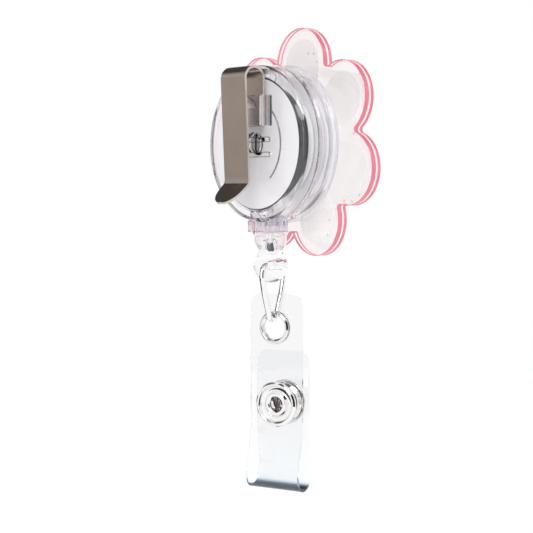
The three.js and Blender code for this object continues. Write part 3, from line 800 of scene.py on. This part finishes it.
def build_strap():
    fold_low = FOLD_Z + SHEET / 2 + 0.02
    bulge = -LAYER_GAP - 0.85
    line = [Vector((0, STRAP_TOP_Z - 2.4 * t**2)) for t in [i / 12 for i in range(13)]]
    line += [Vector((0, STRAP_TOP_Z - 2.4 - (58.9 + STRAP_TOP_Z - 2.4) * i / 24)) for i in range(1, 24)]
    turn = [(0, -58.9), (0.45, -61.3), (1.5, -64.8), (2.0, -67.9), (1.2, -70.5)]
    turn += [(-0.9, fold_low), (-3.0, -70.1), (bulge, -67.3)]
    turn += [(-LAYER_GAP - 0.45, HINGE_Z), (-LAYER_GAP - 0.15, -60.8), (-LAYER_GAP, -59)]
    line += [Vector((p.x, p.y)) for p in smooth_path([(y, z, 0) for y, z in turn], 7)]
    top = FLAP_TOP_Z
    line += [Vector((-LAYER_GAP, -59 + (top - 2.4 + 59) * i / 16)) for i in range(1, 17)]
    line += [Vector((-LAYER_GAP, top - 2.4 * (1 - i / 12) ** 2)) for i in range(1, 13)]
    line = [p for i, p in enumerate(line) if i == 0 or (p - line[i - 1]).length > 1e-4]
    half = STRAP_WIDTH / 2
    widths = []
    for i, point in enumerate(line):
        from_end = STRAP_TOP_Z - point.y if i < len(line) / 2 else top - point.y
        widths.append(end_width(from_end, half, 2.4))
    strap = make("vinyl_strap", strip(line, widths, SHEET, 12), CLEAR_VINYL_FOLD_SHADE, None,
                 ["strap_main", "strap_flap"], ON_STRAP)
    holes = [
        ((EYELET_X, -1, EYELET_Z), (EYELET_X, 1, EYELET_Z), EYELET_HOLE_R + 0.5),
        ((SNAP_X, -1, SNAP_Z), (SNAP_X, 1, SNAP_Z), SNAP_HOLE_R + 0.5),
        ((SNAP_X, -LAYER_GAP - 1, SNAP_Z), (SNAP_X, -LAYER_GAP + 1, SNAP_Z), 1.6),
    ]
    cut(strap, [rod(r, ON_STRAP @ Vector(a), ON_STRAP @ Vector(b)) for a, b, r in holes])
    # Height above the fold, read by the vinyl's material to paint shade along the fold.
    above = strap.data.attributes.new("above_fold", "FLOAT", "POINT")
    for vertex in strap.data.vertices:
        above.data[vertex.index].value = (vertex.co.z / MM - FOLD_Z) / 14
    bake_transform(strap)


def strap_lathe(name, profile, x, z, body, nodes, radius=0.12, metal=CHROME):
    """A turned metal piece in the strap, about the axis through (x, z) of the strap's own frame."""
    place = ON_STRAP @ Matrix.Translation((x, 0, z))
    return make(name, lathe(fillet(profile, radius), 96), metal, body, nodes, place, sharp=50)


def build_strap_metal():
    face = SHEET / 2 + 0.05
    hole = EYELET_HOLE_R
    strap_lathe("eyelet_ring", [
        (hole + 0.3, -face - 0.3), (hole + 0.3, face), (EYELET_R, face), (EYELET_R, face + 0.15),
        (EYELET_R - 0.4, face + 0.5), (hole + 0.35, face + 0.5), (hole, face - 0.05), (hole, -face),
        (hole + 0.15, -face - 0.3),
    ], EYELET_X, EYELET_Z, "strap", ["eyelet"], metal=EYELET_CHROME)
    strap_lathe("eyelet_backing", [
        (hole + 0.55, -face - 0.3), (EYELET_R, -face - 0.2), (EYELET_R, -face), (hole + 0.55, -face),
    ], EYELET_X, EYELET_Z, "strap", ["eyelet_washer"], 0.05)
    hole = SNAP_HOLE_R
    strap_lathe("snap_open_ring", [
        (hole, -face - 0.2), (hole + 0.3, -face - 0.2), (hole + 0.3, face), (SNAP_R - 0.35, face),
        (SNAP_R, face + 0.3), (SNAP_R, face + 0.75), (SNAP_R - 0.4, face + 1.1), (SNAP_R - 0.75, face + 1.1),
        (SNAP_R - 1.0, face + 0.3), (2.75, face + 0.2), (2.3, face + 0.95), (hole + 0.25, face + 0.95),
        (hole, face + 0.6),
    ], SNAP_X, SNAP_Z, "strap", ["snap_ring"], 0.16)
    strap_lathe("snap_stud_disc", [
        (1.8, -face - 1.85), (1.8, -face - 0.3), (SNAP_R - 0.6, -face), (SNAP_R - 0.6, -face - 0.3),
        (2.15, -face - 0.55), (2.0, -face - 1.2), (2.15, -face - 1.6), (2.05, -face - 1.85),
    ], SNAP_X, SNAP_Z, "strap", ["snap_stud"], metal=SNAP_CORE)
    flap = -LAYER_GAP
    strap_lathe("snap_socket_disc", [
        (2.5, flap + face), (SNAP_R - 0.4, flap + face), (SNAP_R - 0.4, flap + face + 0.5),
        (SNAP_R - 1.0, flap + face + 0.9), (2.5, flap + face + 0.9),
    ], SNAP_X, SNAP_Z, "flap", ["snap_socket"])
    strap_lathe("snap_cap_disc", [
        (0, flap + 0.6), (1.3, flap + 0.6), (1.3, flap - face), (SNAP_R, flap - face),
        (SNAP_R, flap - face - 0.35), (SNAP_R - 0.8, flap - face - 0.9), (0, flap - face - 1.15),
    ], SNAP_X, SNAP_Z, "flap", ["snap_cap"], 0.4)


# ---- belt clip ----
def build_clip():
    inner_y = BACK_Y + 0.1 + CLIP_SHEET / 2
    bend_y = inner_y + CLIP_BEND_R
    bend_z = CLIP_TOP_Z - CLIP_SHEET / 2 - CLIP_BEND_R
    line = [Vector((inner_y, 3.6 + (bend_z - 3.6) * i / 12)) for i in range(12)]
    line += arc(bend_y, bend_z, CLIP_BEND_R, math.pi, 0.05, 24)
    top = line[-1]
    foot = Vector((1.98, -7.4))
    line += [top.lerp(foot, i / 30) for i in range(1, 31)]
    line += [Vector((2.05, -7.85)), Vector((2.3, -8.3))]
    lip = Vector((6.1, -11.9))
    line += [line[-1].lerp(lip, 1 - (1 - i / 20) ** 1.6) for i in range(1, 21)]
    half = CLIP_WIDTH / 2
    widths = []
    for i, point in enumerate(line):
        if i > 60 and point.y < -8.6:
            widths.append(half * math.sqrt(max(1 - ((-8.6 - point.y) / 3.42) ** 2.6, 0.0016)))
        else:
            widths.append(half)
    clip = make("spring_clip", strip(line, widths, CLIP_SHEET, 10), STEEL, None,
                ["clip_base", "clip_arm"])
    moon = arc(0, 7.0, 2.4, 0, math.pi, 32)
    cut(clip, [plate(moon, inner_y - 1, inner_y + 1)])
    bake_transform(clip)
    rise = [i / 8 for i in range(9)]
    tab_line = [Vector((inner_y - 0.05 + 0.5 * math.sin(t * 1.4), 7.2 + 1.9 * t)) for t in rise]
    tab_widths = [2.1 * math.sqrt(max(1 - t**2, 0.02)) for t in [i / 8.2 for i in range(9)]]
    make("clip_tab", strip(tab_line, tab_widths, 0.35, 8), STEEL, "case", [])


# ---- flower ----
def petal_angle(index):
    return TURN / 4 + PETAL_TURN - index * TURN / PETALS


def flower_outline():
    half = TURN / PETALS / 2
    mid = PETAL_CENTRE_R * math.cos(half)
    offset = PETAL_CENTRE_R * math.sin(half)
    notch_centre = mid + math.sqrt((PETAL_R + NOTCH_R) ** 2 - offset**2)
    lean = math.atan2(notch_centre - mid, offset)
    sweep, opening = TURN / 4 + half - lean, TURN / 4 - lean
    points = []
    for i in range(PETALS, 0, -1):
        angle = petal_angle(i)
        notch = angle + half
        points += arc(PETAL_CENTRE_R * math.cos(angle), PETAL_CENTRE_R * math.sin(angle), PETAL_R,
                      angle - sweep, angle + sweep, 48)
        points += arc(notch_centre * math.cos(notch), notch_centre * math.sin(notch), NOTCH_R,
                      notch + math.pi + opening, notch + math.pi - opening, 10)[1:-1]
    return points


def bezier(a, b, c, d, steps):
    points = []
    for i in range(1, steps + 1):
        t = i / steps
        points.append(a * (1 - t) ** 3 + b * 3 * t * (1 - t) ** 2 + c * 3 * t**2 * (1 - t) + d * t**3)
    return points


def inlay_outline(index, shrink):
    radius = PETAL_R - INLAY_INSET - shrink
    centre, tip = PETAL_CENTRE_R, PETAL_CENTRE_R - 7.4
    points = arc(centre, 0, radius, -TURN / 4, TURN / 4, 40)
    ends = [Vector((centre, radius)), Vector((centre - 3.5, radius))]
    ends += [Vector((tip, 3.2 - shrink)), Vector((tip + shrink, 0))]
    points += bezier(*ends, 16)
    points += bezier(*[Vector((p.x, -p.y)) for p in reversed(ends)], 16)[:-1]
    turn = Matrix.Rotation(petal_angle(index), 2)
    return [turn @ p for p in points]


def build_flower():
    outline = [point * 0.9985 for point in flower_outline()]
    middle = FLOWER_BACK_Y - LAYER
    make("flower_layer_back", plate(outline, FLOWER_BACK_Y, middle, 0.12), [ACRYLIC, PINK_EDGE], "case",
         ["flower_back"])
    make("flower_layer_front", plate(outline, middle - 0.45, FLOWER_FRONT_Y, 0.12), [ACRYLIC, PINK_EDGE],
         "case", ["flower_front"])
    for i in range(1, PETALS + 1):
        petal = plate(inlay_outline(i, 0.12), middle - 0.08, middle - 0.4)
        make(f"petal_{i}", petal, [PETAL_WHITE, PETAL_WHITE], "case", [f"petal_inlay_{i}"])
    dome = [(0, FLOWER_FRONT_Y - 0.1), (5.8, FLOWER_FRONT_Y - 0.1), (5.8, FLOWER_FRONT_Y - 0.6)]
    dome += [(5.2, FLOWER_FRONT_Y - 1.1), (3, FLOWER_FRONT_Y - 1.5), (0, FLOWER_FRONT_Y - 1.65)]
    make("centre_dome", lathe(fillet(dome, 0.6, 6), 96), YELLOW, "case", ["flower_centre"])
    pad = [(0, 11.1), (0, CASE_DEPTH + 0.8), (12, CASE_DEPTH + 0.8), (12, 11.1)]
    make("pad", reel_lathe(pad, 0.1, 96), FOAM, "case", ["adhesive_pad"])


# ---- studio ----
def card(name, corners, colour):
    """A flat card beside the object, for the metal to mirror. Only mirrored rays see it."""
    mesh = bpy.data.meshes.new(name)
    mesh.from_pydata(corners, [], [(0, 1, 2, 3)])
    piece = bpy.data.objects.new(name, mesh)
    bpy.context.scene.collection.objects.link(piece)
    n = Nodes(name)
    n.set(Base_Color=(0, 0, 0, 1), Roughness=1.0, Specular_IOR_Level=0.0,
          Emission_Color=(*colour, 1), Emission_Strength=1.0)
    mesh.materials.append(n.material)
    for rays in ("visible_camera", "visible_transmission", "visible_diffuse", "visible_shadow"):
        setattr(piece, rays, False)


def upright(towards, distance, half_width, z_from, z_to):
    """Corners of a standing card that faces the middle, in metres."""
    middle = towards.normalized() * distance
    side = Vector((-towards.y, towards.x, 0)).normalized() * half_width
    corners = [(-1, z_from), (1, z_from), (1, z_to), (-1, z_to)]
    return [middle + side * a + Vector((0, 0, z)) for a, z in corners]


def lying(towards, near, far, half_width, z):
    """Corners of a level card that reaches away from the middle, in metres."""
    towards = towards.normalized()
    side = Vector((-towards.y, towards.x, 0)) * half_width
    corners = [(near, -1), (near, 1), (far, 1), (far, -1)]
    return [towards * d + side * a + Vector((0, 0, z)) for d, a in corners]


def build_studio():
    """White all round, with soft darker patches off to the sides for the metal and the case to mirror."""
    patches = [  # direction, inner and outer angle in degrees, colour
        ((0.52, 0.64, 0.56), 14, 26, (0.05, 0.045, 0.04)),
        ((0.78, 0.05, 0.61), 10, 24, (0.04, 0.035, 0.03)),
        ((0.78, -0.3, 0.55), 12, 24, (0.06, 0.05, 0.045)),
        ((-0.05, 0.53, 0.83), 8, 16, (0.03, 0.03, 0.035)),
        ((-0.95, 0.27, 0.0), 9, 17, (0.03, 0.03, 0.035)),
        ((-0.88, 0.3, 0.36), 8, 16, (0.03, 0.03, 0.035)),
        ((-0.04, -0.63, 0.76), 14, 30, (0.02, 0.02, 0.022)),
    ]
    world = bpy.data.worlds.new("studio")
    bpy.context.scene.world = world
    world.use_nodes = True
    tree = world.node_tree
    tree.nodes.clear()
    where = tree.nodes.new("ShaderNodeTexCoord")
    colour = None
    for direction, inner, outer, shade in patches:
        facing = tree.nodes.new("ShaderNodeVectorMath")
        facing.operation = "DOT_PRODUCT"
        facing.inputs[1].default_value = Vector(direction).normalized()
        tree.links.new(where.outputs["Generated"], facing.inputs[0])
        mask = tree.nodes.new("ShaderNodeMapRange")
        mask.interpolation_type = "SMOOTHSTEP"
        mask.inputs["From Min"].default_value = math.cos(math.radians(outer))
        mask.inputs["From Max"].default_value = math.cos(math.radians(inner))
        tree.links.new(facing.outputs["Value"], mask.inputs["Value"])
        mix = tree.nodes.new("ShaderNodeMix")
        mix.data_type = "RGBA"
        mix.inputs["A"].default_value = (1, 1, 1, 1)
        mix.inputs["B"].default_value = (*shade, 1)
        tree.links.new(mask.outputs["Result"], mix.inputs["Factor"])
        if colour:
            tree.links.new(colour, mix.inputs["A"])
        colour = mix.outputs["Result"]
    around = tree.nodes.new("ShaderNodeBackground")
    tree.links.new(colour, around.inputs["Color"])
    seen = tree.nodes.new("ShaderNodeBackground")
    seen.inputs["Color"].default_value = (1, 1, 1, 1)
    path = tree.nodes.new("ShaderNodeLightPath")
    mix = tree.nodes.new("ShaderNodeMixShader")
    out = tree.nodes.new("ShaderNodeOutputWorld")
    tree.links.new(path.outputs["Is Camera Ray"], mix.inputs["Fac"])
    tree.links.new(around.outputs[0], mix.inputs[1])
    tree.links.new(seen.outputs[0], mix.inputs[2])
    tree.links.new(mix.outputs[0], out.inputs["Surface"])

    left, behind_left, right = Vector((0.78, 0.63, 0)), Vector((1, 0.02, 0)), Vector((-0.98, 0.19, 0))
    card("brown_card", upright(left, 0.5, 0.2, -0.06, 0.16), (0.48, 0.435, 0.4))
    card("dark_strip", upright(left, 0.5, 0.2, -0.124, -0.06), (0.06, 0.055, 0.055))
    card("dark_mat", lying(left, 0.13, 0.48, 0.16, -0.124), (0.05, 0.045, 0.045))
    card("dark_side", upright(behind_left, 0.5, 0.15, -0.124, -0.04), (0.06, 0.055, 0.055))
    card("dark_card", upright(right, 0.35, 0.15, -0.124, 0.15), (0.02, 0.02, 0.022))

    box = bpy.data.lights.new("softbox", "AREA")
    box.shape = "RECTANGLE"
    box.size, box.size_y = 0.05, 0.3
    box.energy = 0.15
    softbox = bpy.data.objects.new("softbox", box)
    bpy.context.scene.collection.objects.link(softbox)
    softbox.visible_diffuse = False
    softbox.location = Vector((-0.386, 0.923, 0.12)) * 0.5
    softbox.rotation_euler = (-softbox.location).to_track_quat("-Z", "Y").to_euler()

    light = bpy.data.lights.new("key", "SUN")
    light.energy = 0.95
    light.angle = math.radians(25)
    key = bpy.data.objects.new("key", light)
    bpy.context.scene.collection.objects.link(key)
    key.rotation_euler = Vector((0.5, -0.6, -0.66)).to_track_quat("-Z", "Y").to_euler()

    floor_z, reach = -0.75, 4
    sides = [(-reach, -reach), (reach, -reach), (reach, reach), (-reach, reach)]
    corners = [(x, y, floor_z) for x, y in sides]
    mesh = bpy.data.meshes.new("floor")
    mesh.from_pydata(corners, [], [(0, 1, 2, 3)])
    floor = bpy.data.objects.new("floor", mesh)
    bpy.context.scene.collection.objects.link(floor)
    n = Nodes("pale_floor")
    n.set(Base_Color=(0.6, 0.6, 0.6, 1), Roughness=0.9, Emission_Color=(1, 1, 1, 1), Emission_Strength=0.52)
    mesh.materials.append(n.material)
    bpy.context.scene.view_settings.view_transform = "Standard"


make_camera()
build_case()
build_guide()
build_inside()
build_winding()
build_cord_end()
build_bead()
build_loop()
build_strap()
build_strap_metal()
build_clip()
build_flower()
build_studio()
